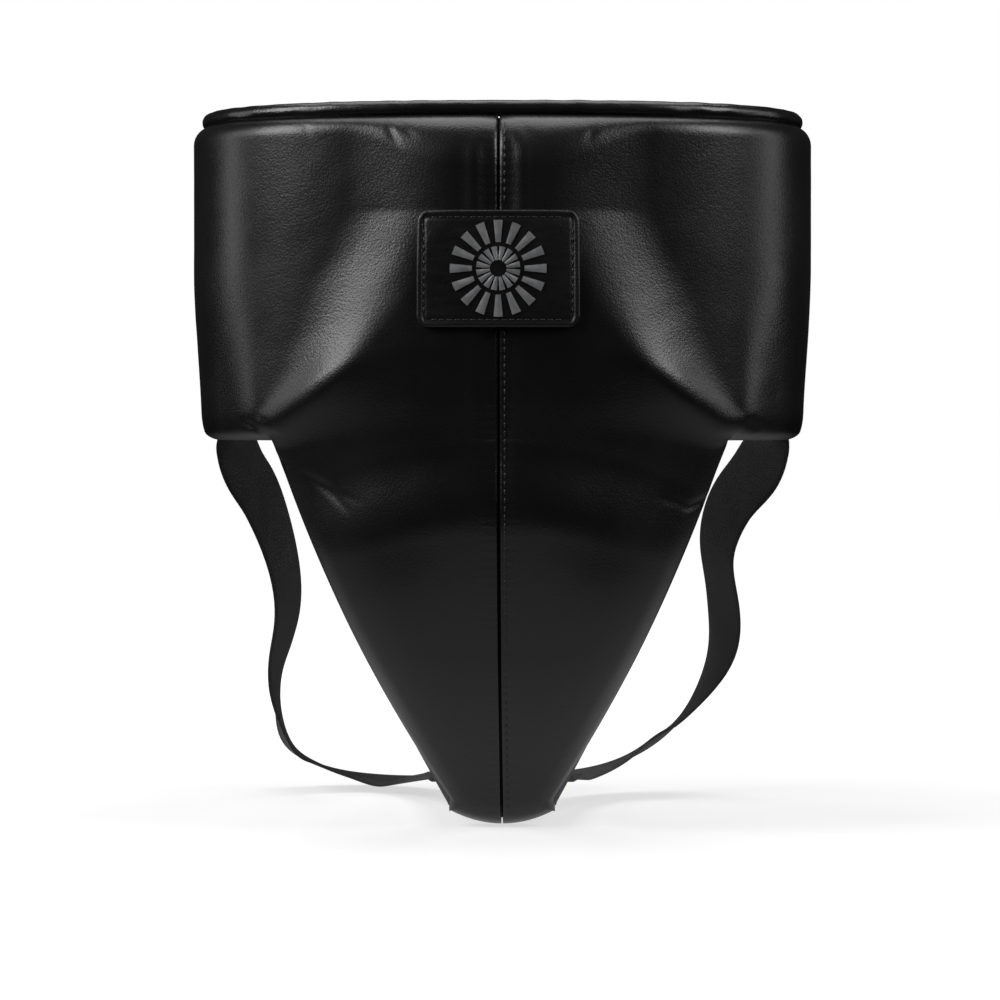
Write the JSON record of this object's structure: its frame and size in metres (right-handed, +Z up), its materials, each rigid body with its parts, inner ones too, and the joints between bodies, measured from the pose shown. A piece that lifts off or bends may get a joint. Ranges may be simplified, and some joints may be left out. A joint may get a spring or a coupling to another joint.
{
  "type": "groin protector",
  "caption": "Padded leather groin protector with hip flaps, a V-shaped cup, a rolled top edge, an elastic waist belt with hook tab, and two leg straps.",
  "frame": {"origin": "centre of the waist opening, half way up the elastic waist belt", "axes": "+X to the right seen from the front, the front faces -Y, +Z up along the wearer"},
  "size_m": [0.312, 0.3047, 0.3595],
  "materials": {
    "shell_leather": "semi-gloss fine-grained cowhide",
    "label_leather": "semi-gloss creased leather",
    "binding_leather": "gloss rolled leather",
    "seam_tape": "matt woven tape",
    "thread": "waxed polyester thread",
    "cotton_cord": "twisted cotton cord",
    "badge_silver": "satin silver foil",
    "foam": "closed-cell latex foam",
    "rim_foam": "dense soft rubber foam",
    "cup_plastic": "moulded polycarbonate",
    "lining": "coated nylon cloth",
    "webbing": "ribbed elastic webbing",
    "belt_elastic": "wide woven elastic",
    "loop_tape": "soft loop pile",
    "hook_tape": "nylon hooks"
  },
  "bodies": {
    "shell": {"left_outer_panel": "shell_leather", "right_outer_panel": "shell_leather", "seam_tape": "seam_tape", "seam_stitching": "thread", "top_binding": "binding_leather", "top_cord_core": "cotton_cord", "binding_stitching": "thread", "label_patch": "label_leather", "label_badge": "badge_silver", "label_stitching": "thread", "belly_pad": "foam", "left_flap_pad": "foam", "right_flap_pad": "foam", "cup_pad": "foam", "hard_cup": "cup_plastic", "cup_rim_cushion": "rim_foam", "front_lining": "lining", "left_flap_lining": "lining", "right_flap_lining": "lining", "strap_root_left": "webbing", "strap_root_right": "webbing", "root_bartacks": "thread", "strap_end_left": "webbing", "strap_end_right": "webbing", "tip_patch": "shell_leather", "tip_stitching": "thread", "belt_root_tab": "shell_leather", "loop_patch": "loop_tape"},
    "leg_strap_left": {"leg_strap_left": "webbing"},
    "leg_strap_right": {"leg_strap_right": "webbing"},
    "waist_belt": {"waist_elastic": "belt_elastic"},
    "hook_tab": {"hook_tab": "shell_leather", "hook_patch": "hook_tape", "tab_stitching": "thread"}
  },
  "joints": [
    {"name": "belt_open", "type": "hinge", "parent": "shell", "child": "waist_belt", "pos_m": [-0.1146, 0.0718, 0], "axis": [0, 0, 1], "range_deg": [0, 110]},
    {"name": "tab_peel", "type": "hinge", "parent": "waist_belt", "child": "hook_tab", "pos_m": [0.1209, 0.0846, 0], "axis": [0, 0, 1], "range_deg": [0, 85]},
    {"name": "left_strap_swing", "type": "hinge", "parent": "shell", "child": "leg_strap_left", "pos_m": [-0.139, 0.026, -0.081], "axis": [0.5681, -0.1623, -0.8068], "range_deg": [-10, 6], "stiffness_Nm_per_rad": 0.6},
    {"name": "right_strap_swing", "type": "hinge", "parent": "shell", "child": "leg_strap_right", "pos_m": [0.139, 0.026, -0.081], "axis": [-0.5681, -0.1623, -0.8068], "range_deg": [-6, 12], "stiffness_Nm_per_rad": 0.6}
  ]
}
